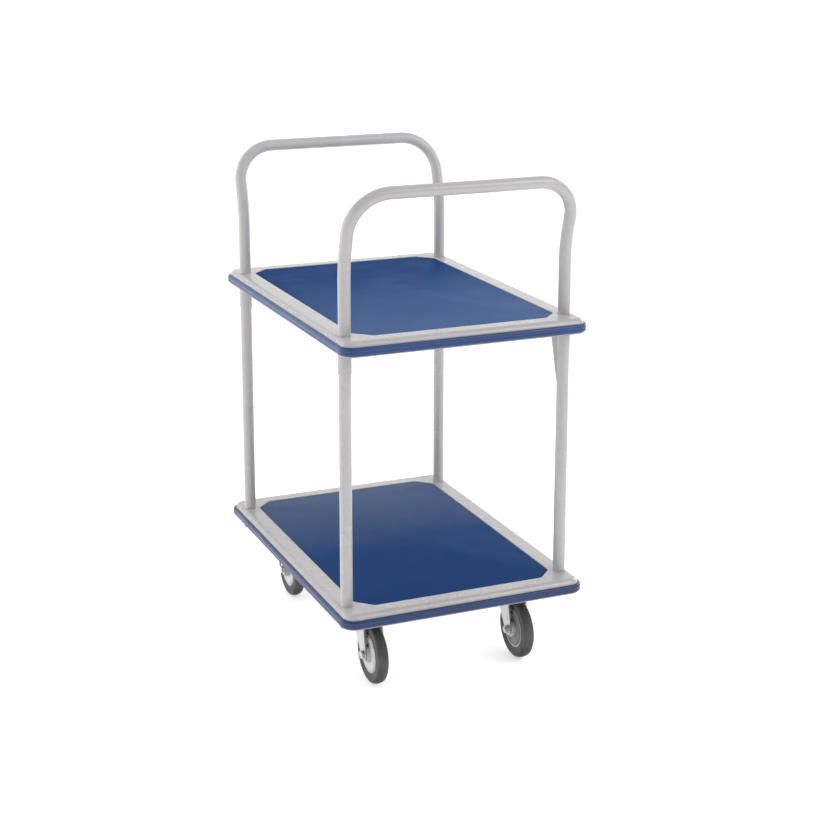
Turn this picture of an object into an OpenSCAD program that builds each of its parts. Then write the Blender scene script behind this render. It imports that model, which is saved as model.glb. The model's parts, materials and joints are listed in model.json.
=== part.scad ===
// Two-tier platform trolley: two pressed steel decks with inset mats and bumper strips, carried by two
// bent tube hoops that rise past the upper deck as push handles. Two swivel casters at the front, two
// rigid casters at the rear. Millimetres, +Z up, front towards -Y, origin on the floor under the middle.

/* [Decks] */
// Length of a steel deck, front to rear
deck_l = 738; // [720:1:780]
// Width of a steel deck
deck_w = 516; // [510:1:560]
// Outer corner radius of a deck
deck_corner = 24; // [20:1:28]
// Height of the lower deck's rim above the floor
lower_rim_z = 195; // [193:1:215]
// Distance from the lower deck's rim to the upper deck's
tier_gap = 550; // [450:5:600]
// Sheet thickness of the decks
sheet = 2; // [1.5:0.5:2.5]
// Radius of the rolled upper edge
edge_roll = 12; // [10:1:14]
// Depth of the deck's skirt, from the rim down
skirt_h = 30; // [28:1:34]
// Width of the flange turned in under the skirt
flange_w = 12; // [6:1:14]

/* [Mats and bumpers] */
// Length of a mat
mat_l = 660; // [640:1:664]
// Width of a mat
mat_w = 434; // [410:1:436]
// Size of the mat's cut corners
mat_cut = 33; // [30:1:50]
// Rounding where the cut meets a side
mat_round = 14; // [8:1:20]
// Thickness of a mat
mat_t = 3; // [2:0.5:4]
// Gap round the mat in its recess
mat_gap = 1; // [0.5:0.5:1.5]
// How far a mat lies below the rim
mat_sunk = 1; // [0.5:0.5:2]
// How far a bumper strip stands out
bumper_t = 6; // [5.5:0.5:9]
// Height of a bumper strip
bumper_h = 17.5; // [14:0.5:18]

/* [Tube hoops] */
// Outer diameter of the tube
tube_d = 25; // [22:0.5:25.5]
// Wall thickness of the tube
tube_wall = 1.5; // [1.2:0.1:2]
// Distance of a leg from the middle, sideways
leg_x = 236; // [235:1:237]
// Distance of a leg from the middle, lengthways
leg_y = 309; // [308:1:312]
// Height of the outward kick above the upper rim
kick_up = 143; // [100:1:180]
// Outward lean of a handle above the kick
lean = 17; // [8:1:22]
// Length of a handle from the kick to the top bar
handle_l = 139.5; // [120:0.5:180]
// Bend radius of the top corners
corner_r = 80; // [60:1:95]
// Bend radius of the kick
kick_r = 250; // [200:5:280]

/* [Casters] */
// Wheel diameter
wheel_d = 125; // [120:1:126]
// Tyre width
tyre_w = 24; // [22:1:28]
// Distance of a wheel from the middle, sideways
caster_x = 163; // [150:1:168]
// Distance of a caster plate from the middle, lengthways
caster_y = 235; // [225:1:240]
// Trail of the swivel casters
trail = 30; // [25:1:36]
// Overall height of a caster
caster_h = 160; // [158:1:162]

/* [Hidden] */
$fn = 64;
cut = 1;                                   // overshoot of every cutting tool
arc_step = 7.5;                            // degrees between the points of a mat's rounded corner
grey = [0.80, 0.80, 0.78];
zinc = [0.75, 0.76, 0.77];
blue = [0.12, 0.25, 0.48];

// Decks
floor_drop = mat_t + mat_sunk + sheet;     // underside of the recess floor below the rim
bumper_low = skirt_h - 2.5;                // lower edge of the bumper below the rim
bumper_round = 5;
upper_rim_z = lower_rim_z + tier_gap;
floor_z = lower_rim_z - floor_drop;        // underside of the lower deck's floor

// Tubes, sockets and collars
tube_r = tube_d / 2;
seat_r = tube_r + 0.05;                    // bore that takes a leg
foot_z = caster_h - 8;                     // lower end of a leg
socket_r = seat_r + 2;
collar_r = seat_r + 1.2;
notch_r = socket_r + 0.35;                 // opening for a leg in the skirt's flange
socket_low = foot_z - 2;
collar_len = 70;
screw_r = 3;
socket_screw_z = foot_z + 13;
collar_screw_z = upper_rim_z - 33;
kick_z = upper_rim_z + kick_up;
kick_run = kick_r * tan(lean / 2);         // tangent length of the kick
kick_upset = 0.25;
kick_lap = 2;
handle_straight = ceil(handle_l - corner_r - kick_run) + kick_lap;
web_t = 3;
web_low = upper_rim_z - 147;
web_reach = 30.8;                          // tip of a web from the leg's axis, at its top

// Caster channels and their bolts
channel_l = 412;
channel_w = 100;
channel_t = 2.5;
channel_lip = 10;
bolt_r = 4;
bolt_x = 27.5;
bolt_y = 37.5;
plate_x = 76;
plate_y = 96;
plate_t = 3;
plate_z = caster_h - plate_t;

// Swivel head
crown_t = 3;
crown_z = caster_h - 26;                   // underside of the fork's crown
pin_r = 6;
pin_head_r = 11;
run_fit = 0.08;
ball_r = 3.2;
ball_ring_r = 24;
ball_count = 16;
cup_r = 31;
cup_floor = crown_z + crown_t + 5;
cup_lip = cup_floor + 9.7;
race_low = cup_floor + 2 * ball_r + 0.4;

// Fork legs, axle and wheel
wheel_r = wheel_d / 2;
hub_half = 18;
leg_in = 18.5;
leg_t = 3;
leg_eye = 13;
axle_r = 5;
spacer_r = 7.5;
bearing_r = 10;
hub_r = 17;
rim_r = 40;
rim_half = 10;
shoulder = 7.5;                            // rounding of the tyre's tread towards its sides
cover_r = 37;
cover_t = 2;

left = -1;
right = 1;
front = -1;
rear = 1;

// 2D helpers

module rounded_rect(w, l, r) {
    square([w - 2 * r, l], center = true);
    square([w, l - 2 * r], center = true);
    for (x = [-1, 1], y = [-1, 1])
        translate([x * (w / 2 - r), y * (l / 2 - r)]) circle(r);
}

// Points on a quarter of the outline below: the two rounded ends of one 45 degree cut
function cut_corner(hx, hy, c, r) =
    let (back = r * tan(22.5), side = [hx - r, hy - c - back], end = [hx - c - back, hy - r])
    [for (a = [0:arc_step:45]) side + r * [cos(a), sin(a)],
        for (a = [45:arc_step:90]) end + r * [cos(a), sin(a)]];

function turned(points, x, y) = [for (i = [0:len(points) - 1])
    let (p = points[x * y > 0 ? i : len(points) - 1 - i]) [x * p[0], y * p[1]]];

// A rectangle with its corners cut at 45 degrees and the cuts' ends rounded; grow offsets its outline
module cut_rect(w, l, c, r, grow) {
    corner = cut_corner(w / 2 + grow, l / 2 + grow, c + grow * (2 - sqrt(2)), r + grow);
    polygon(concat(turned(corner, 1, 1), turned(corner, -1, 1),
        turned(corner, -1, -1), turned(corner, 1, -1)));
}

module ring(outer, inner) {
    difference() {
        circle(outer);
        circle(inner);
    }
}

// Point where a line from p touches the circle of radius r round c
function touch(p, c, r, side) =
    let (d = p - c, a = atan2(d[1], d[0]) + side * acos(r / norm(d)))
    c + r * [cos(a), sin(a)];

// 3D helpers

module tube(outer, inner, h) {
    difference() {
        cylinder(r = outer, h = h);
        translate([0, 0, -cut]) cylinder(r = inner, h = h + 2 * cut);
    }
}

// Carries a profile round a rounded rectangle; the profile's x is its distance from the corner's centre
module round_rim(w, l, r) {
    for (s = [-1, 1]) {
        translate([s * (w / 2 - r), 0, 0]) rotate([0, 0, s > 0 ? 0 : 180])
            rotate([90, 0, 0]) linear_extrude(l - 2 * r, center = true) children();
        translate([0, s * (l / 2 - r), 0]) rotate([0, 0, s * 90])
            rotate([90, 0, 0]) linear_extrude(w - 2 * r, center = true) children();
    }
    for (i = [0:3])
        translate([(i == 0 || i == 3 ? 1 : -1) * (w / 2 - r), (i < 2 ? 1 : -1) * (l / 2 - r), 0])
            rotate([0, 0, 90 * i]) rotate_extrude(angle = 90) children();
}

module at_legs() {
    for (x = [left, right], y = [front, rear])
        translate([x * leg_x, y * leg_y, 0]) children();
}

module at_casters() {
    for (x = [left, right], y = [front, rear])
        translate([x * caster_x, y * caster_y, 0]) children();
}

// Child drawn with its axis along X, heading outwards from the trolley's middle
module at_wheel(x, y) {
    translate([x * caster_x, y * caster_y - (y == front ? trail : 0), wheel_r])
        rotate([0, 90 * x, 0]) children();
}

module hex(flats, h) {
    cylinder(d = flats / cos(30), h = h, $fn = 6);
}

// Decks

module deck_edge() {
    translate([deck_corner - edge_roll, -edge_roll]) intersection() {
        ring(edge_roll, edge_roll - sheet);
        square(edge_roll);
    }
    translate([deck_corner - sheet, -skirt_h]) square([sheet, skirt_h - edge_roll]);
    translate([deck_corner - flange_w, -skirt_h]) square([flange_w, sheet]);
}

module deck(z) {
    color(grey) translate([0, 0, z]) difference() {
        union() {
            round_rim(deck_w, deck_l, deck_corner) deck_edge();
            translate([0, 0, -sheet]) linear_extrude(sheet) difference() {
                rounded_rect(deck_w - 2 * edge_roll, deck_l - 2 * edge_roll, deck_corner - edge_roll);
                cut_rect(mat_w, mat_l, mat_cut, mat_round, mat_gap);
            }
            translate([0, 0, -floor_drop]) linear_extrude(floor_drop) difference() {
                cut_rect(mat_w, mat_l, mat_cut, mat_round, mat_gap + sheet);
                cut_rect(mat_w, mat_l, mat_cut, mat_round, mat_gap);
            }
            translate([0, 0, -floor_drop]) linear_extrude(sheet)
                cut_rect(mat_w, mat_l, mat_cut, mat_round, mat_gap + sheet);
        }
        at_legs() translate([0, 0, -floor_drop]) cylinder(r = seat_r, h = floor_drop + cut);
        at_legs() translate([0, 0, -skirt_h - cut]) cylinder(r = notch_r, h = sheet + 2 * cut);
    }
}

module mat(z) {
    color(blue) translate([0, 0, z - mat_sunk - mat_t]) linear_extrude(mat_t)
        cut_rect(mat_w, mat_l, mat_cut, mat_round, 0);
}

module bumper_profile() {
    difference() {
        translate([deck_corner + bumper_t - 2 * bumper_round, -bumper_low]) {
            translate([0, bumper_round]) square([2 * bumper_round, bumper_h - 2 * bumper_round]);
            square([bumper_round, bumper_h]);
            for (y = [bumper_round, bumper_h - bumper_round])
                translate([bumper_round, y]) circle(bumper_round);
        }
        translate([0, -skirt_h]) square([deck_corner, skirt_h]);
    }
}

module bumper(z) {
    color(blue) translate([0, 0, z]) round_rim(deck_w, deck_l, deck_corner) bumper_profile();
}

// Tube hoops, drawn for the rear and turned round for the front. The tube's seam is on the inner side. The
// kick's wall is upset a little, and the straight tubes run into it.

module straight(length) {
    rotate([0, 0, -90]) tube(tube_r, tube_r - tube_wall, length);
}

module bend(angle, r, seam, upset) {
    rotate_extrude(angle = angle) translate([r, 0]) rotate(seam)
        ring(tube_r + upset, tube_r - tube_wall - upset);
}

// A screw hole that enters a leg from the side facing the trolley's middle
module screw_hole(x, z, reach) {
    translate([0, 0, z]) rotate([0, -90 * x, 0]) cylinder(r = screw_r, h = reach);
}

module hoop_half(x) {
    translate([x * leg_x, 0, 0]) difference() {
        translate([0, 0, foot_z]) straight(kick_z - kick_run - foot_z + kick_lap);
        for (z = [socket_screw_z, collar_screw_z])
            screw_hole(x, z, tube_r + cut);
    }
    translate([x * leg_x, kick_r, kick_z - kick_run]) rotate([90, 0, -90])
        bend(lean, kick_r, 0, kick_upset);
    translate([0, 0, kick_z]) rotate([-lean, 0, 0]) {
        translate([x * leg_x, 0, handle_l - corner_r - handle_straight]) straight(handle_straight);
        translate([x * (leg_x - corner_r), 0, handle_l - corner_r])
            rotate([90, 0, x > 0 ? 0 : 180]) bend(90, corner_r, x * 90, 0);
    }
}

module hoop(y) {
    color(grey) rotate([0, 0, y == front ? 180 : 0]) translate([0, leg_y, 0]) {
        hoop_half(right);
        hoop_half(left);
        translate([0, 0, kick_z]) rotate([-lean, 0, 0]) translate([corner_r - leg_x, 0, handle_l])
            rotate([0, 90, 0]) straight(2 * (leg_x - corner_r));
    }
}

// A tube round a leg with a plate that reaches in under the deck's floor; its top is the floor's underside
module leg_sleeve(x, y, r, top, length) {
    translate([x * leg_x, y * leg_y, top - length]) difference() {
        union() {
            cylinder(r = r, h = length + 1.5);
            translate([0, 0, length - sheet]) {
                cylinder(r = socket_r + 3, h = sheet);
                rotate([0, 0, atan2(-y, -x)]) translate([0, -12, 0]) cube([30, 24, sheet]);
            }
        }
        translate([0, 0, -cut]) cylinder(r = seat_r, h = length + 4 * cut);
        children();
    }
}

module lower_sockets() {
    color(grey) for (x = [left, right], y = [front, rear])
        leg_sleeve(x, y, socket_r, floor_z, floor_z - socket_low)
            screw_hole(x, socket_screw_z - socket_low, 2 * tube_r);
}

module upper_collars() {
    color(grey) for (x = [left, right], y = [front, rear])
        leg_sleeve(x, y, collar_r, floor_z + tier_gap, collar_len)
            screw_hole(x, collar_screw_z - floor_z - tier_gap + collar_len, 2 * tube_r);
}

module leg_screws(r, z) {
    color(zinc) for (x = [left, right], y = [front, rear])
        translate([x * leg_x, y * leg_y, z]) rotate([0, -90 * x, 0]) {
            translate([0, 0, tube_r - tube_wall - 3]) cylinder(r = screw_r, h = r - tube_r + tube_wall + 3);
            translate([0, 0, r]) cylinder(r = 5, h = 3);
        }
}

module leg_plugs() {
    color([0.25, 0.25, 0.26]) at_legs() {
        translate([0, 0, foot_z - 2]) cylinder(r = tube_r - 0.1, h = 2);
        translate([0, 0, foot_z]) cylinder(r = tube_r - tube_wall - 0.1, h = 8);
    }
}

// Triangular webs that brace the upper deck's front corners against the legs
module front_webs() {
    top = floor_z + tier_gap - sheet;
    color(grey) for (x = [left, right])
        translate([x * leg_x, -leg_y, 0]) difference() {
            rotate([0, 0, 90 + x * 45]) rotate([90, 0, 0]) linear_extrude(web_t, center = true)
                polygon([[0, web_low], [tube_r, web_low], [web_reach, top], [0, top]]);
            translate([0, 0, web_low - cut]) cylinder(r = seat_r, h = top - web_low + 2 * cut);
            translate([0, 0, floor_z + tier_gap - collar_len]) cylinder(r = collar_r, h = collar_len + cut);
        }
}

module upper_stiffeners() {
    color(grey) for (x = [left, right])
        translate([x * 110, 0, floor_z + tier_gap]) rotate([90, 0, 0])
            linear_extrude(600, center = true) {
                translate([-25, -18]) square([50, sheet]);
                for (s = [-1, 1]) {
                    translate([s * 25 - (s > 0 ? sheet : 0), -18]) square([sheet, 18]);
                    translate([s > 0 ? 23 : -37, -sheet]) square([14, sheet]);
                }
            }
}

// Channels that carry the casters under the lower deck

module channel_profile() {
    depth = floor_z - caster_h;
    translate([-channel_w / 2, 0]) square([channel_w, channel_t]);
    for (s = [-1, 1]) {
        translate([s > 0 ? channel_w / 2 - channel_t : -channel_w / 2, 0]) square([channel_t, depth]);
        translate([s > 0 ? channel_w / 2 - channel_t : channel_t - channel_lip - channel_w / 2,
            depth - channel_t]) square([channel_lip, channel_t]);
    }
}

module bolt_holes(h) {
    for (x = [-1, 1], y = [-1, 1])
        translate([x * bolt_x, y * bolt_y, -cut]) cylinder(r = bolt_r, h = h);
}

module channel(y) {
    color(grey) difference() {
        translate([0, y * caster_y, caster_h]) rotate([90, 0, 90])
            linear_extrude(channel_l, center = true) channel_profile();
        for (x = [left, right])
            translate([x * caster_x, y * caster_y, caster_h]) {
                bolt_holes(channel_t + 2 * cut);
                translate([0, 0, -cut]) cylinder(r = 16, h = channel_t + 2 * cut);
            }
    }
}

module caster_bolts() {
    color(zinc) at_casters() for (x = [-1, 1], y = [-1, 1])
        translate([x * bolt_x, y * bolt_y, 0]) {
            translate([0, 0, plate_z - 1.5]) cylinder(r = 8, h = 1.5);
            translate([0, 0, plate_z - 6.5]) hex(13, 5);
            translate([0, 0, plate_z]) cylinder(r = bolt_r, h = 16);
        }
}

module caster_nuts() {
    color(zinc) at_casters() for (x = [-1, 1], y = [-1, 1])
        translate([x * bolt_x, y * bolt_y, caster_h + channel_t]) difference() {
            union() {
                cylinder(r = 8, h = 1.5);
                translate([0, 0, 1.5]) hex(13, 6);
            }
            translate([0, 0, -cut]) cylinder(r = bolt_r, h = 10);
        }
}

// Swivel caster, fixed part

module plate_blank() {
    difference() {
        linear_extrude(plate_t) rounded_rect(plate_x, plate_y, 8);
        bolt_holes(plate_t + 2 * cut);
    }
}

module swivel_plate(x) {
    color(zinc) translate([x * caster_x, -caster_y, 0]) difference() {
        union() {
            translate([0, 0, plate_z]) plate_blank();
            translate([0, 0, race_low]) cylinder(r = cup_r - 3, h = plate_z - race_low);
        }
        translate([0, 0, race_low - cut]) cylinder(r = pin_r, h = caster_h);
        translate([0, 0, race_low - cut]) cylinder(r = ball_ring_r - 4, h = plate_z - race_low + cut);
    }
}

module kingpin(x) {
    color(zinc) translate([x * caster_x, -caster_y, 0]) {
        translate([0, 0, crown_z - 5.3]) cylinder(r = pin_head_r, h = 5);
        translate([0, 0, crown_z - 0.3]) cylinder(r = pin_r, h = caster_h - crown_z + 0.3);
        translate([0, 0, caster_h]) cylinder(r = pin_head_r, h = 3.5);
    }
}

// Swivel caster, turning part

module balls(x) {
    color([0.6, 0.6, 0.62]) translate([x * caster_x, -caster_y, cup_floor + ball_r])
        for (i = [0:ball_count - 1])
            rotate([0, 0, i * 360 / ball_count]) translate([ball_ring_r, 0, 0]) sphere(ball_r);
}

// Outline of a caster leg in the side view: a foot that narrows to the eye round the axle
module leg_outline(rear_y, front_y, eye_y, top) {
    eye = [eye_y, wheel_r];
    back = [rear_y, top - 10];
    face = [front_y, top - 4];
    polygon([[front_y, top], face, touch(face, eye, leg_eye, 1), eye, touch(back, eye, leg_eye, -1),
        back, [rear_y, top]]);
    translate(eye) circle(leg_eye);
}

module caster_legs(rear_y, front_y, eye_y, top) {
    for (s = [-1, 1]) translate([s * (leg_in + leg_t / 2), 0, 0]) rotate([90, 0, 90])
        linear_extrude(leg_t, center = true) difference() {
            leg_outline(rear_y, front_y, eye_y, top);
            translate([eye_y, wheel_r]) circle(axle_r);
        }
}

module fork(x) {
    wide = 2 * (leg_in + leg_t);
    color(zinc) translate([x * caster_x, -caster_y, 0]) difference() {
        union() {
            caster_legs(28, -28, -trail, crown_z);
            translate([-wide / 2, -28, crown_z]) cube([wide, 56, crown_t]);
            translate([0, 0, crown_z]) cylinder(r = cup_r, h = cup_lip - crown_z);
        }
        translate([0, 0, crown_z - cut]) cylinder(r = pin_r + run_fit, h = caster_h);
        translate([0, 0, cup_floor]) cylinder(r = cup_r - 2, h = caster_h);
    }
}

module bracket(x) {
    wide = 2 * (leg_in + leg_t);
    color(zinc) translate([x * caster_x, caster_y, 0]) {
        translate([0, 0, plate_z]) plate_blank();
        caster_legs(28, -28, 0, plate_z);
    }
}

// Axle parts and wheels, drawn round Z and laid along X by at_wheel

module axle(x, y) {
    color(zinc) at_wheel(x, y) {
        translate([0, 0, leg_in + leg_t]) hex(15, 5.5);
        translate([0, 0, -leg_in - leg_t - 9]) cylinder(r = axle_r, h = 2 * (leg_in + leg_t) + 9);
    }
}

module axle_nut(x, y) {
    color(zinc) at_wheel(x, y) translate([0, 0, -leg_in - leg_t - 7]) difference() {
        hex(15, 7);
        translate([0, 0, -cut]) cylinder(r = axle_r, h = 7 + 2 * cut);
    }
}

module spacer(x, y) {
    color([0.6, 0.6, 0.62]) at_wheel(x, y) translate([0, 0, -leg_in]) tube(spacer_r, axle_r, 2 * leg_in);
}

module bearing(x, y) {
    color([0.3, 0.3, 0.32]) at_wheel(x, y) translate([0, 0, -hub_half])
        tube(bearing_r, spacer_r + 0.05, 2 * hub_half);
}

module rim(x, y) {
    color([0.72, 0.72, 0.73]) at_wheel(x, y) rotate_extrude() {
        translate([bearing_r, -hub_half]) square([hub_r - bearing_r, 2 * hub_half]);
        translate([hub_r, -4]) square([rim_r - hub_r, 8]);
        translate([rim_r - 6, -rim_half]) square([6, 2 * rim_half]);
    }
}

module tyre(x, y) {
    color([0.33, 0.33, 0.34]) at_wheel(x, y) rotate_extrude() {
        translate([rim_r, -rim_half]) square([8, 2 * rim_half]);
        translate([(wheel_r + rim_r + 4) / 2, 0]) rounded_rect(wheel_r - rim_r - 4, tyre_w, shoulder);
    }
}

module covers(x, y) {
    color([0.78, 0.78, 0.79]) at_wheel(x, y) for (s = [0, 1]) mirror([0, 0, s])
        translate([0, 0, rim_half]) rotate_extrude() {
            translate([hub_r + 0.2, 0]) square([cover_r - cover_t - hub_r - 0.2, cover_t]);
            translate([cover_r - cover_t, 0]) intersection() {
                circle(cover_t);
                square(cover_t);
            }
        }
}

deck(lower_rim_z);  // lower_deck
mat(lower_rim_z);  // lower_mat
bumper(lower_rim_z);  // lower_bumper
deck(upper_rim_z);  // upper_deck
mat(upper_rim_z);  // upper_mat
bumper(upper_rim_z);  // upper_bumper
hoop(front);  // front_hoop
hoop(rear);  // rear_hoop
channel(front);  // front_channel
channel(rear);  // rear_channel
upper_stiffeners();
front_webs();
lower_sockets();
upper_collars();
leg_screws(socket_r, socket_screw_z);  // socket_screws
leg_screws(collar_r, collar_screw_z);  // collar_screws
leg_plugs();
caster_bolts();
caster_nuts();
swivel_plate(left);  // front_left_plate
kingpin(left);  // front_left_kingpin
balls(left);  // front_left_balls
fork(left);  // front_left_fork
axle(left, front);  // front_left_axle
axle_nut(left, front);  // front_left_nut
spacer(left, front);  // front_left_spacer
rim(left, front);  // front_left_rim
tyre(left, front);  // front_left_tyre
covers(left, front);  // front_left_covers
bearing(left, front);  // front_left_bearing
swivel_plate(right);  // front_right_plate
kingpin(right);  // front_right_kingpin
balls(right);  // front_right_balls
fork(right);  // front_right_fork
axle(right, front);  // front_right_axle
axle_nut(right, front);  // front_right_nut
spacer(right, front);  // front_right_spacer
rim(right, front);  // front_right_rim
tyre(right, front);  // front_right_tyre
covers(right, front);  // front_right_covers
bearing(right, front);  // front_right_bearing
bracket(left);  // rear_left_bracket
axle(left, rear);  // rear_left_axle
axle_nut(left, rear);  // rear_left_nut
spacer(left, rear);  // rear_left_spacer
rim(left, rear);  // rear_left_rim
tyre(left, rear);  // rear_left_tyre
covers(left, rear);  // rear_left_covers
bearing(left, rear);  // rear_left_bearing
bracket(right);  // rear_right_bracket
axle(right, rear);  // rear_right_axle
axle_nut(right, rear);  // rear_right_nut
spacer(right, rear);  // rear_right_spacer
rim(right, rear);  // rear_right_rim
tyre(right, rear);  // rear_right_tyre
covers(right, rear);  // rear_right_covers
bearing(right, rear);  // rear_right_bearing
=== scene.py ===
import json
import math

import bpy
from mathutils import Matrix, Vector


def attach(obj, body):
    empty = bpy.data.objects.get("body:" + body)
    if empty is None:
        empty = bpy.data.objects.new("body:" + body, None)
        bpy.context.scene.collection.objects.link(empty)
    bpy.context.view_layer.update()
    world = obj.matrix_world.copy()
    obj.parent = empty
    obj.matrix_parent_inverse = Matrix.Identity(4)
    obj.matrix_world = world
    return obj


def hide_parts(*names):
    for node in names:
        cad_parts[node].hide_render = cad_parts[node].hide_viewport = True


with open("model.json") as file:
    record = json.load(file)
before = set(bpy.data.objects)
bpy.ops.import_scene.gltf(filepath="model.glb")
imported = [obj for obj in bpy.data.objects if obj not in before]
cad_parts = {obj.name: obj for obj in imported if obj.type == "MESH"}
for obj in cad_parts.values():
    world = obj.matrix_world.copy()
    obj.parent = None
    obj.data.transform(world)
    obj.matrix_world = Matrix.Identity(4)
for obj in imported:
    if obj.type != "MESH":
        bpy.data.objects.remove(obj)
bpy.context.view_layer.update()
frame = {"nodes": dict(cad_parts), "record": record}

# Sizes shared with the CAD part, in metres
# Decks: length, width and corner radius, then the heights of the lower and the upper rim
DECK_L, DECK_W, DECK_R = 0.738, 0.516, 0.024
RIM_Z = (0.195, 0.745)
# Mats: length, width, corner cut, rounding at the cut's ends, thickness, and the top's height over the rim
MAT_L, MAT_W, MAT_CUT, MAT_ROUND, MAT_T, MAT_TOP = 0.660, 0.434, 0.033, 0.014, 0.003, -0.001
# Bumpers: how far they stand out, how far their lower edge is below the rim, and their height
BUMPER_OUT, BUMPER_LOW, BUMPER_H = 0.006, 0.0275, 0.0175
# Legs: places, tube radius and height of the lower ends
LEG_X, LEG_Y, TUBE_R, FOOT_Z = 0.236, 0.309, 0.0125, 0.152
# Handles: height, radius and angle of the outward bend, sloping length, and radius of the top corners
KICK_Z, KICK_R, LEAN, HANDLE_L, CORNER_R = 0.888, 0.250, math.radians(17), 0.1395, 0.080
# Wheels: radius and places of the axles
WHEEL_R, WHEEL_X, FRONT_AXLE_Y, REAR_AXLE_Y = 0.0625, 0.163, -0.265, 0.235


# ---------------------------------------------------------------- materials

WHITE = (1, 1, 1)
BLACK = (0, 0, 0)


def scaled(color, factor):
    return tuple(c * factor for c in color)


class Shader:
    """A Principled material and short ways to add texture nodes to it."""

    def __init__(self, name, color, roughness, metallic=0.0, specular=0.5):
        self.mat = bpy.data.materials.new(name)
        self.mat.use_nodes = True
        self.nodes, self.links = self.mat.node_tree.nodes, self.mat.node_tree.links
        self.bsdf = self.nodes["Principled BSDF"]
        self.bsdf.inputs["Base Color"].default_value = (*color, 1)
        self.bsdf.inputs["Roughness"].default_value = roughness
        self.bsdf.inputs["Metallic"].default_value = metallic
        self.bsdf.inputs["Specular IOR Level"].default_value = specular
        self.place = self.nodes.new("ShaderNodeTexCoord").outputs["Object"]

    def stretched(self, x, y, z):
        """Texture coordinates scaled by x, y and z: a larger number gives a finer pattern."""
        node = self.nodes.new("ShaderNodeMapping")
        node.inputs["Scale"].default_value = (x, y, z)
        self.links.new(self.place, node.inputs["Vector"])
        return node.outputs["Vector"]

    def noise(self, scale, detail, rough=0.5, vector=None):
        node = self.nodes.new("ShaderNodeTexNoise")
        node.inputs["Scale"].default_value = scale
        node.inputs["Detail"].default_value = detail
        node.inputs["Roughness"].default_value = rough
        self.links.new(vector or self.place, node.inputs["Vector"])
        return node.outputs["Fac"]

    def cells(self, scale):
        """Distance from the nearest of many scattered points, for grain and spangle."""
        node = self.nodes.new("ShaderNodeTexVoronoi")
        node.feature = "F1"
        node.inputs["Scale"].default_value = scale
        self.links.new(self.place, node.inputs["Vector"])
        return node.outputs["Distance"]

    def ramp(self, fac, low, high):
        """A colour that goes from low to high, each being (value of fac, colour)."""
        node = self.nodes.new("ShaderNodeValToRGB")
        for stop, (at, color) in zip(node.color_ramp.elements, (low, high)):
            stop.position = at
            stop.color = (*color, 1)
        self.links.new(fac, node.inputs["Fac"])
        return node.outputs["Color"]

    def span(self, fac, low, high, start=0.3, end=0.7):
        """A number that goes from low to high as fac goes from start to end."""
        node = self.nodes.new("ShaderNodeMapRange")
        node.inputs["From Min"].default_value = start
        node.inputs["From Max"].default_value = end
        node.inputs["To Min"].default_value = low
        node.inputs["To Max"].default_value = high
        self.links.new(fac, node.inputs["Value"])
        return node.outputs["Result"]

    def mix(self, fac, first, second, blend="MIX"):
        node = self.nodes.new("ShaderNodeMix")
        node.data_type, node.blend_type = "RGBA", blend
        for name, value in (("Factor", fac), ("A", first), ("B", second)):
            if isinstance(value, bpy.types.NodeSocket):
                self.links.new(value, node.inputs[name])
            else:
                node.inputs[name].default_value = value
        return node.outputs["Result"]

    def times(self, first, second):
        return self.mix(1.0, first, second, "MULTIPLY")

    def axis(self, which):
        node = self.nodes.new("ShaderNodeSeparateXYZ")
        self.links.new(self.place, node.inputs["Vector"])
        return node.outputs[which]

    def shade(self, distance):
        """1 in the open, falling towards 0 in narrow spaces."""
        node = self.nodes.new("ShaderNodeAmbientOcclusion")
        node.samples = 6
        node.inputs["Distance"].default_value = distance
        return node.outputs["AO"]

    def set(self, name, value):
        self.links.new(value, self.bsdf.inputs[name])

    def bump(self, *layers, radius=0.0):
        """layers: (height, distance in metres, strength), from coarse to fine; radius softens the edges."""
        last = None
        if radius:
            soft = self.nodes.new("ShaderNodeBevel")
            soft.samples = 4
            soft.inputs["Radius"].default_value = radius
            last = soft.outputs["Normal"]
        for height, distance, strength in layers:
            node = self.nodes.new("ShaderNodeBump")
            node.inputs["Distance"].default_value = distance
            node.inputs["Strength"].default_value = strength
            self.links.new(height, node.inputs["Height"])
            if last:
                self.links.new(last, node.inputs["Normal"])
            last = node.outputs["Normal"]
        self.links.new(last, self.bsdf.inputs["Normal"])


def powder_coat():
    """Light grey enamel with a faint orange peel, fine specks, and rare scuffs drawn out in height."""
    s = Shader("powder_coat", (0.455, 0.445, 0.448), 0.26, specular=0.6)
    tint = s.ramp(s.noise(3.1, detail=4), (0.3, (0.440, 0.425, 0.430)), (0.7, (0.475, 0.465, 0.465)))
    specks = s.ramp(s.noise(420, detail=2), (0.32, (0.93, 0.93, 0.93)), (0.46, WHITE))
    streaks = s.noise(34, detail=6, rough=0.7, vector=s.stretched(1, 1, 0.35))
    scuffs = s.ramp(streaks, (0.24, (0.93, 0.92, 0.91)), (0.36, WHITE))
    s.set("Base Color", s.times(s.times(tint, specks), scuffs))
    s.set("Roughness", s.span(s.noise(26, detail=4), 0.24, 0.29))
    peel = (s.noise(260, detail=2), 0.0003, 0.07)
    grain = (s.noise(900, detail=2), 0.0001, 0.08)
    s.bump(peel, grain, radius=0.0012)
    return s.mat


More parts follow.
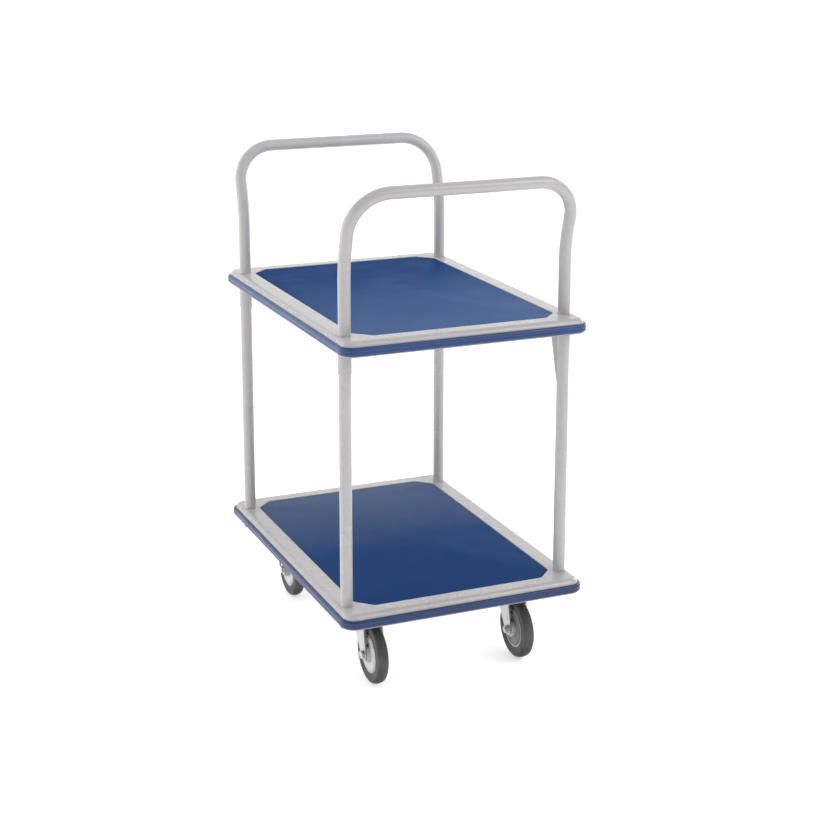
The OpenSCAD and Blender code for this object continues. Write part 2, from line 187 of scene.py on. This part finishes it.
def mat_rubber(name, back, front, turn):
    """Grained rubber whose colour goes from back at +Y to front at -Y, between the two values of turn; this
    gradient is a painted sheen.
    """
    s = Shader(name, front, 0.6, specular=0.015)
    reach = 0.34
    # Painted sheen: the colour changes along Y in place of light reflected off one end of the mat
    along = s.span(s.axis("Y"), 0, 1, start=reach, end=-reach)
    painted_sheen_blend = s.mix(0.22, along, s.noise(3.2, detail=5, rough=0.6))
    base = s.ramp(painted_sheen_blend, (turn[0], back), (turn[1], front))
    patches = s.noise(7.0, detail=5, rough=0.6)
    cloud = s.ramp(patches, (0.28, (0.90, 0.91, 0.93)), (0.72, (1.07, 1.06, 1.04)))
    grain = s.ramp(s.cells(520), (0.05, (0.82, 0.84, 0.88)), (0.55, (1.05, 1.05, 1.04)))
    dust = s.ramp(s.noise(85, detail=7, rough=0.72), (0.62, BLACK), (0.80, (0.22, 0.22, 0.22)))
    painted_sheen_and_grain = s.times(s.times(base, cloud), grain)
    dust_color = (0.07, 0.11, 0.22, 1)
    s.set("Base Color", s.mix(dust, painted_sheen_and_grain, dust_color))
    s.set("Roughness", s.span(s.noise(14, detail=5), 0.52, 0.68))
    waves = (s.noise(9, detail=3), 0.0006, 0.10)
    pebbles = (s.cells(520), 0.0005, 0.45)
    pores = (s.noise(1500, detail=2), 0.0001, 0.2)
    s.bump(waves, pebbles, pores)
    return s.mat


def bumper_rubber(name, color):
    """Smooth soft plastic with pale rubbed spots."""
    s = Shader(name, color, 0.34)
    base = s.ramp(s.noise(7, detail=5), (0.3, scaled(color, 0.85)), (0.7, scaled(color, 1.15)))
    wear = s.ramp(s.noise(120, detail=7, rough=0.7), (0.66, BLACK), (0.80, (0.12, 0.12, 0.12)))
    wear_color = (0.16, 0.20, 0.30, 1)
    s.set("Base Color", s.mix(wear, base, wear_color))
    s.set("Roughness", s.span(s.noise(16, detail=4), 0.30, 0.40))
    s.bump((s.noise(1100, detail=2), 0.0001, 0.25))
    return s.mat


def zinc(name, color, rough, stretch):
    """Zinc plated steel with spangle, stains and brush marks, and painted shade that darkens it in narrow
    spaces.
    """
    s = Shader(name, color, rough, metallic=0.92)
    spangle = s.ramp(s.cells(150), (0.1, scaled(color, 0.90)), (0.7, color))
    stain = s.ramp(s.noise(38, detail=6, rough=0.65), (0.33, (0.78, 0.76, 0.72)), (0.48, WHITE))
    # Painted shade: the colour darkens where ambient occlusion finds narrow spaces
    painted_shade = s.ramp(s.shade(0.05), (0.35, (0.35, 0.34, 0.33)), (0.75, WHITE))
    s.set("Base Color", s.times(s.times(spangle, stain), painted_shade))
    s.set("Roughness", s.span(s.noise(60, detail=5), rough - 0.07, rough + 0.12))
    brushing = (s.noise(200, detail=3, rough=0.6, vector=s.stretched(*stretch)), 0.0002, 0.18)
    grain = (s.noise(700, detail=2), 0.0001, 0.15)
    s.bump(brushing, grain, radius=0.0006)
    return s.mat


def moulded(name, color, rough):
    """Moulded plastic with fine grain and a little grime."""
    s = Shader(name, color, rough)
    base = s.ramp(s.noise(30, detail=5), (0.3, scaled(color, 0.90)), (0.7, scaled(color, 1.08)))
    grime = s.ramp(s.noise(110, detail=7, rough=0.7), (0.36, (0.72, 0.70, 0.66)), (0.52, WHITE))
    s.set("Base Color", s.times(base, grime))
    s.set("Roughness", s.span(s.noise(90, detail=4), rough - 0.06, rough + 0.10))
    ripple = (s.noise(150, detail=3), 0.0003, 0.12)
    grain = (s.noise(1300, detail=2), 0.0001, 0.25)
    s.bump(ripple, grain, radius=0.0006)
    return s.mat


def tyre_rubber():
    """Grey rubber with dust in its grain, and painted shade that darkens it in narrow spaces."""
    s = Shader("tyre_rubber", (0.055, 0.055, 0.057), 0.55, specular=0.35)
    blotches = s.noise(40, detail=6, rough=0.65)
    base = s.ramp(blotches, (0.3, (0.050, 0.050, 0.052)), (0.7, (0.084, 0.083, 0.084)))
    dust = s.ramp(s.noise(260, detail=6, rough=0.75), (0.56, BLACK), (0.74, (0.55, 0.55, 0.55)))
    # Painted shade: the tyre darkens where ambient occlusion finds narrow spaces, such as under the deck
    painted_shade = s.ramp(s.shade(0.08), (0.40, (0.16, 0.16, 0.16)), (0.80, WHITE))
    dust_color = (0.17, 0.165, 0.16, 1)
    s.set("Base Color", s.times(s.mix(dust, base, dust_color), painted_shade))
    s.set("Roughness", s.span(s.noise(70, detail=5), 0.36, 0.60))
    scars = (s.noise(180, detail=5, rough=0.7), 0.0005, 0.25)
    grain = (s.noise(1400, detail=2), 0.0002, 0.3)
    s.bump(scars, grain)
    return s.mat


# By material slot, with second materials for mat_blue, bumper_blue and cover_plastic; the lower bumper and
# the inner guards are darker copies as painted shade, and each mat has a painted sheen from back to front
MATERIALS = {
    "powder_coat": powder_coat(),
    # Both mats: the back and front colours hold a painted sheen
    "mat_blue": mat_rubber("mat_upper", (0.006, 0.046, 0.182), (0.080, 0.141, 0.304), (0.28, 0.86)),
    "mat_lower": mat_rubber("mat_lower", (0.098, 0.137, 0.240), (0.017, 0.056, 0.180), (0.10, 0.55)),
    "bumper_blue": bumper_rubber("bumper_upper", (0.012, 0.050, 0.182)),
    # Painted shade: the lower bumper is a darker copy of the upper bumper's blue
    "bumper_lower_shaded": bumper_rubber("bumper_lower_shaded", (0.007, 0.030, 0.125)),
    "zinc_pressed": zinc("zinc_pressed", (0.60, 0.61, 0.62), 0.34, (1, 1, 6)),
    "zinc_screws": zinc("zinc_screws", (0.66, 0.66, 0.66), 0.30, (3, 1, 1)),
    "bright_steel": zinc("bright_steel", (0.60, 0.60, 0.61), 0.22, (1, 6, 1)),
    "rim_plastic": moulded("rim_plastic", (0.46, 0.46, 0.47), 0.42),
    "cover_plastic": moulded("cover_outer", (0.60, 0.60, 0.61), 0.38),
    # Painted shade: the inner guards get a darker copy of the outer guards' grey
    "cover_inner_shaded": moulded("cover_inner_shaded", (0.18, 0.18, 0.19), 0.42),
    "tyre_grey": tyre_rubber(),
    "bearing_plastic": moulded("bearing_plastic", (0.05, 0.05, 0.052), 0.45),
    "plug_plastic": moulded("plug_plastic", (0.035, 0.035, 0.038), 0.5),
}
SLOT_OF = {part["node"]: part["material_slot"] for part in frame["record"]["subparts"]}
for node, obj in frame["nodes"].items():
    obj.data.materials.clear()
    obj.data.materials.append(MATERIALS[SLOT_OF[node]])


# ---------------------------------------------------------------- mesh helpers

def make_piece(name, verts, faces, body, slot, sharp, replaced=(), material=None):
    """A piece smoothed up to sharp degrees; material is given only where the slot has two."""
    mesh = bpy.data.meshes.new(name)
    mesh.from_pydata([tuple(v) for v in verts], [], faces)
    mesh.validate()
    mesh.materials.append(MATERIALS[material or slot])
    mesh.shade_smooth()
    obj = bpy.data.objects.new(name, mesh)
    bpy.context.scene.collection.objects.link(obj)
    mesh.set_sharp_from_angle(angle=math.radians(sharp))
    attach(obj, body)
    for node in replaced:
        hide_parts(node)


def grid_faces(rings, count, closed_ends=False):
    """Quads between successive rings of count points each; ring k starts at index k * count."""
    faces = []
    for k in range(rings if closed_ends else rings - 1):
        near, far = k * count, ((k + 1) % rings) * count
        for i in range(count):
            j = (i + 1) % count
            faces.append((near + i, near + j, far + j, far + i))
    return faces


def flipped(faces):
    return [face[::-1] for face in faces]


def arc(first, last, steps):
    """Angles in radians from first to last, which are in degrees, with both ends."""
    return [math.radians(first + (last - first) * k / steps) for k in range(steps + 1)]


def lathe(name, profile, centre, side, body, slot, replaced=(), material=None):
    """Turns a closed profile of (distance outwards, radius) points round the X axis through centre."""
    steps, sharp = 96, 38
    verts = []
    for k in range(steps):
        angle = 2 * math.pi * k / steps
        for x, r in profile:
            y, z = r * math.cos(angle), r * math.sin(angle)
            verts.append((centre[0] + side * x, centre[1] + y, centre[2] + z))
    faces = grid_faces(steps, len(profile), closed_ends=True)
    if side > 0:
        faces = flipped(faces)
    make_piece(name, verts, faces, body, slot, sharp, replaced, material)


# ---------------------------------------------------------------- tube hoops

def hoop_path():
    """Centre line of the rear hoop in (x, y, z): up one side, over the top and down the other."""
    bend_steps, corner_steps = 12, 24
    run = KICK_R * math.tan(LEAN / 2)
    out = Vector((0, math.sin(LEAN), math.cos(LEAN)))
    base = Vector((0, LEG_Y, KICK_Z))
    half = [Vector((LEG_X, LEG_Y, z)) for z in (FOOT_Z, 0.45, 0.70)]
    for k in range(bend_steps + 1):
        angle = LEAN * k / bend_steps
        y = LEG_Y + KICK_R * (1 - math.cos(angle))
        half.append(Vector((LEG_X, y, KICK_Z - run + KICK_R * math.sin(angle))))
    for k in range(corner_steps + 1):
        angle = math.pi / 2 * k / corner_steps
        x = LEG_X - CORNER_R + CORNER_R * math.cos(angle)
        up = HANDLE_L - CORNER_R + CORNER_R * math.sin(angle)
        half.append(Vector((x, 0, 0)) + base + out * up)
    other = [Vector((-p.x, p.y, p.z)) for p in reversed(half)]
    return half + other


def sweep_tube(path, radius):
    """Points and faces of a round bar with flat ends along path."""
    sides = 40
    verts = []
    tangent = (path[1] - path[0]).normalized()
    normal = Vector((0, 1, 0))
    for i, point in enumerate(path):
        before, after = path[max(i - 1, 0)], path[min(i + 1, len(path) - 1)]
        ahead = (after - before).normalized()
        turn = tangent.rotation_difference(ahead)
        normal = (turn @ normal).normalized()
        normal = (normal - ahead * normal.dot(ahead)).normalized()
        tangent = ahead
        side = tangent.cross(normal)
        for k in range(sides):
            angle = 2 * math.pi * k / sides
            verts.append(point + normal * radius * math.cos(angle) + side * radius * math.sin(angle))
    faces = flipped(grid_faces(len(path), sides))
    faces.append(tuple(range(sides)))
    faces.append(tuple(range((len(path) - 1) * sides, len(path) * sides))[::-1])
    return verts, faces


tube_verts, tube_faces = sweep_tube(hoop_path(), TUBE_R)
make_piece("rear_hoop_tube", tube_verts, tube_faces, "frame", "powder_coat", 60, ["rear_hoop"])
turned = [Vector((-v.x, -v.y, v.z)) for v in tube_verts]
make_piece("front_hoop_tube", turned, tube_faces, "frame", "powder_coat", 60, ["front_hoop"])


# ---------------------------------------------------------------- mats and bumper strips

# Edge of a mat from its underside up: how far in from its outline, and height over its top
MAT_EDGE = ((0.0007, -MAT_T), (0, -MAT_T + 0.0007), (0, -0.0011), (0.0003, -0.0004), (0.0010, 0))
# A 45 degree cut is shorter by this much of the distance that its outline moves in: 2 less the root of 2
CUT_SHRINK = 0.586


def cut_outline(width, length, cut, radius):
    """Points round a rectangle with 45 degree cuts whose ends are rounded, counterclockwise."""
    steps = 6
    half_w, half_l, back = width / 2, length / 2, radius * math.tan(math.radians(22.5))
    side, end = (half_w - radius, half_l - cut - back), (half_w - cut - back, half_l - radius)
    quarter = []
    for (x, y), first in ((side, 0), (end, 45)):
        for angle in arc(first, first + 45, steps):
            quarter.append((x + radius * math.cos(angle), y + radius * math.sin(angle)))
    points = []
    for sx, sy, order in ((1, 1, 1), (-1, 1, -1), (-1, -1, 1), (1, -1, -1)):
        points += [(sx * x, sy * y) for x, y in quarter[::order]]
    return points


def mat_piece(name, top, node, material):
    """A mat with softly rounded upper and lower edges."""
    rings = []
    for inset, z in MAT_EDGE:
        width, length = MAT_W - 2 * inset, MAT_L - 2 * inset
        outline = cut_outline(width, length, MAT_CUT - CUT_SHRINK * inset, MAT_ROUND - inset)
        rings.append([(x, y, top + z) for x, y in outline])
    count = len(rings[0])
    faces = grid_faces(len(rings), count)
    faces.append(tuple(range(count))[::-1])
    faces.append(tuple(range((len(rings) - 1) * count, len(rings) * count)))
    verts = [point for ring in rings for point in ring]
    make_piece(name, verts, faces, "frame", "mat_blue", 30, [node], material)


def round_path(width, length, radius):
    """Corner centres and outward directions round a rounded rectangle, to carry a profile along."""
    steps = 16
    stations = []
    for i, (sx, sy) in enumerate(((1, 1), (-1, 1), (-1, -1), (1, -1))):
        x, y = sx * (width / 2 - radius), sy * (length / 2 - radius)
        stations += [(x, y, math.cos(angle), math.sin(angle)) for angle in arc(90 * i, 90 * i + 90, steps)]
    return stations


def bumper_profile(low, high):
    """Section of a bumper strip as (distance from the corner's centre, z), with a groove along its face."""
    inner, outer = DECK_R, DECK_R + BUMPER_OUT
    round_out, round_up, steps = 0.0045, 0.0050, 8
    groove = 0.0004
    profile = [(inner, low), (outer - round_out, low)]
    for angle in arc(-90, 0, steps)[1:-1]:
        d = outer - round_out + round_out * math.cos(angle)
        profile.append((d, low + round_up + round_up * math.sin(angle)))
    profile += [(outer, low + z) for z in (0.0052, 0.0068)]
    profile += [(outer - groove, low + z) for z in (0.0078, 0.0086, 0.0094)]
    profile += [(outer, low + z) for z in (0.0104, 0.0122)]
    for angle in arc(0, 90, steps)[1:]:
        d = outer - round_out + round_out * math.cos(angle)
        profile.append((d, high - round_up + round_up * math.sin(angle)))
    return profile + [(inner, high)]


def bumper_piece(name, rim_z, node, material):
    """A soft strip round a deck's skirt."""
    low, high = rim_z - BUMPER_LOW, rim_z - BUMPER_LOW + BUMPER_H
    profile = bumper_profile(low, high)
    stations = round_path(DECK_W, DECK_L, DECK_R)
    verts = [(x + out_x * d, y + out_y * d, z) for x, y, out_x, out_y in stations for d, z in profile]
    faces = flipped(grid_faces(len(stations), len(profile), closed_ends=True))
    make_piece(name, verts, faces, "frame", "bumper_blue", 50, [node], material)


TIERS = (
    # The lower tier's bumper takes the darker copy of the blue, as painted shade
    ("lower", RIM_Z[0], "mat_lower", "bumper_lower_shaded"),
    ("upper", RIM_Z[1], "mat_blue", "bumper_blue"),
)
for tier, rim_z, mat_material, bumper_material in TIERS:
    mat_piece(f"{tier}_mat_pad", rim_z + MAT_TOP, f"{tier}_mat", mat_material)
    bumper_piece(f"{tier}_bumper_strip", rim_z, f"{tier}_bumper", bumper_material)


# ---------------------------------------------------------------- wheels

# Wheel profiles are lists of (distance from the wheel's middle plane, radius)

def mirrored(side):
    """The whole profile of which side is one half."""
    return side + [(-x, r) for x, r in reversed(side)]


def tyre_profile():
    """Rounded shoulders, a slightly crowned tread, and a fine moulded ring in each side wall."""
    half, bead, shoulder, crown = 0.0120, 0.0100, 0.0075, 0.0008
    ring = 0.0005
    side = [(bead, 0.0402), (bead + 0.0012, 0.0418), (half - 0.0010, 0.0440), (half - 0.0002, 0.0460)]
    side += [(half, 0.0480), (half - ring, 0.0486), (half - ring, 0.0494), (half, 0.0500)]
    for angle in arc(0, 90, 9)[:-1]:
        x = half - shoulder + shoulder * math.cos(angle)
        side.append((x, WHEEL_R - crown - shoulder + shoulder * math.sin(angle)))
    side += [(half - shoulder, WHEEL_R - crown), (0.0020, WHEEL_R - 0.0001), (0.0005, WHEEL_R)]
    return mirrored(side)


def rim_profile():
    """Hub, thin web and the seat that carries the tyre."""
    hub = [(0.0180, 0.0101), (0.0180, 0.0150), (0.0174, 0.0166), (0.0150, 0.0170), (0.0060, 0.0176)]
    web = [(0.0046, 0.0190), (0.0042, 0.0325)]
    seat = [(0.0056, 0.0340), (0.0096, 0.0346), (0.0100, 0.0354), (0.0100, 0.0401)]
    return mirrored(hub + web + seat)


def cover_profile():
    """One thread guard: a shallow dish with a raised ring near its edge."""
    lip = [(0.0101, 0.0176), (0.0108, 0.0174), (0.0113, 0.0184)]
    dish = [(0.0108, 0.0205), (0.0105, 0.0240), (0.0107, 0.0275)]
    ring = [(0.0114, 0.0298), (0.0117, 0.0314), (0.0117, 0.0340)]
    edge = [(0.0112, 0.0354), (0.0106, 0.0364), (0.0101, 0.0368)]
    return lip + dish + ring + edge


def guard_ribs(name, centre, side, body, material):
    """Short moulded ribs round the edge of a thread guard, tapering from foot to top."""
    count, half, taper = 36, 0.0007, 0.0003
    foot, top = 0.0108, 0.0120
    near, far = 0.0316, 0.0356
    block = [(3, 2, 1, 0), (4, 5, 6, 7), (0, 1, 5, 4), (1, 2, 6, 5), (2, 3, 7, 6), (3, 0, 4, 7)]
    if side < 0:
        block = flipped(block)
    verts, faces = [], []
    for k in range(count):
        angle = 2 * math.pi * k / count
        radial = Vector((0, math.cos(angle), math.sin(angle)))
        along = Vector((0, -math.sin(angle), math.cos(angle)))
        start = len(verts)
        for x, slim in ((foot, 0), (top, taper)):
            level = Vector(centre) + Vector((side * x, 0, 0))
            for r, way in ((near + slim, -1), (far - slim, -1), (far - slim, 1), (near + slim, 1)):
                verts.append(level + radial * r + along * way * (half - slim / 2))
        faces += [tuple(start + i for i in face) for face in block]
    make_piece(name, verts, faces, body, "cover_plastic", 20, material=material)


def wheel(prefix, x, y, body):
    """Tyre, rim and two thread guards with their ribs, the inner guard being darker than the outer as
    painted shade.
    """
    centre, out = (x, y, WHEEL_R), 1 if x > 0 else -1
    lathe(f"{prefix}_tyre_rubber", tyre_profile(), centre, out, body, "tyre_grey", [f"{prefix}_tyre"])
    lathe(f"{prefix}_rim_body", rim_profile(), centre, out, body, "rim_plastic", [f"{prefix}_rim"])
    lathe(f"{prefix}_guard_out", cover_profile(), centre, out, body, "cover_plastic", [f"{prefix}_covers"])
    lathe(f"{prefix}_guard_in", cover_profile(), centre, -out, body, "cover_plastic", (), "cover_inner_shaded")
    guard_ribs(f"{prefix}_ribs_out", centre, out, body, "cover_plastic")
    guard_ribs(f"{prefix}_ribs_in", centre, -out, body, "cover_inner_shaded")


for side, x in (("left", -WHEEL_X), ("right", WHEEL_X)):
    wheel(f"front_{side}", x, FRONT_AXLE_Y, f"wheel_front_{side}")
    wheel(f"rear_{side}", x, REAR_AXLE_Y, f"wheel_rear_{side}")


# ---------------------------------------------------------------- stage, light and camera

# The floor sweeps up into a back wall: half width, start and radius of the sweep, and the wall's top
FLOOR_HALF, SWEEP_Y, SWEEP_R, WALL_TOP = 14.0, 5.0, 3.0, 9.0

floor_shader = Shader("floor", (0.93, 0.93, 0.93), 0.6, specular=0.2)
floor_clouds = floor_shader.noise(1.3, detail=3)
floor_tint = floor_shader.ramp(floor_clouds, (0.3, (0.925, 0.925, 0.925)), (0.7, (0.945, 0.945, 0.945)))
floor_shader.set("Base Color", floor_tint)
floor_shader.bsdf.inputs["Emission Color"].default_value = (1, 1, 1, 1)
floor_shader.bsdf.inputs["Emission Strength"].default_value = 0.5
backdrop = [(-FLOOR_HALF, 0.0), (SWEEP_Y, 0.0)]
for angle in arc(0, 90, 12)[1:]:
    backdrop.append((SWEEP_Y + SWEEP_R * math.sin(angle), SWEEP_R - SWEEP_R * math.cos(angle)))
backdrop.append((SWEEP_Y + SWEEP_R, WALL_TOP))
floor_verts = [(x, y, z) for y, z in backdrop for x in (-FLOOR_HALF, FLOOR_HALF)]
floor_faces = [(2 * k, 2 * k + 1, 2 * k + 3, 2 * k + 2) for k in range(len(backdrop) - 1)]
floor_mesh = bpy.data.meshes.new("studio_floor")
floor_mesh.from_pydata(floor_verts, [], floor_faces)
floor_mesh.materials.append(floor_shader.mat)
floor_mesh.shade_smooth()
floor = bpy.data.objects.new("studio_floor", floor_mesh)
bpy.context.scene.collection.objects.link(floor)

world = bpy.data.worlds.new("studio")
bpy.context.scene.world = world
world.use_nodes = True
world.node_tree.nodes["Background"].inputs["Color"].default_value = (1.0, 1.0, 1.0, 1)
world.node_tree.nodes["Background"].inputs["Strength"].default_value = 0.5


def softbox(name, place, target, width, height, power):
    """A rectangular light at place that faces target, power being in watts."""
    data = bpy.data.lights.new(name, "AREA")
    data.shape, data.size, data.size_y = "RECTANGLE", width, height
    data.energy = power
    obj = bpy.data.objects.new(name, data)
    bpy.context.scene.collection.objects.link(obj)
    obj.location = place
    obj.rotation_euler = (Vector(target) - Vector(place)).to_track_quat("-Z", "Y").to_euler()


softbox("key", (2.4, -2.6, 3.0), (0, 0, 0.5), 2.2, 2.2, 60)
softbox("top", (0, 0.2, 3.6), (0, 0, 0), 3.0, 3.0, 18)
softbox("left_fill", (-3.2, -0.8, 1.6), (0, 0, 0.5), 1.6, 2.4, 18)
softbox("rim_left", (-2.6, 1.7, 1.3), (0, 0, 0.6), 0.9, 2.4, 22)
softbox("rim_right", (3.0, 1.2, 1.3), (0, 0, 0.6), 0.9, 2.4, 30)

# The photograph's view: the camera looks down and turns towards +X by these angles in degrees
CAMERA_DOWN, CAMERA_TURN = 12.9925, 22.915

camera_data = bpy.data.cameras.new("camera")
camera_data.lens, camera_data.sensor_width = 76.8, 36
camera_data.shift_y = -0.132
camera_data.clip_end = 60
camera = bpy.data.objects.new("camera", camera_data)
camera.location = (-1.3771, -3.3173, 1.5564)
camera.rotation_euler = (math.radians(90 - CAMERA_DOWN), 0, math.radians(-CAMERA_TURN))
bpy.context.scene.collection.objects.link(camera)
bpy.context.scene.camera = camera
bpy.context.scene.view_settings.view_transform = "Standard"
bpy.context.scene.view_settings.look = "None"
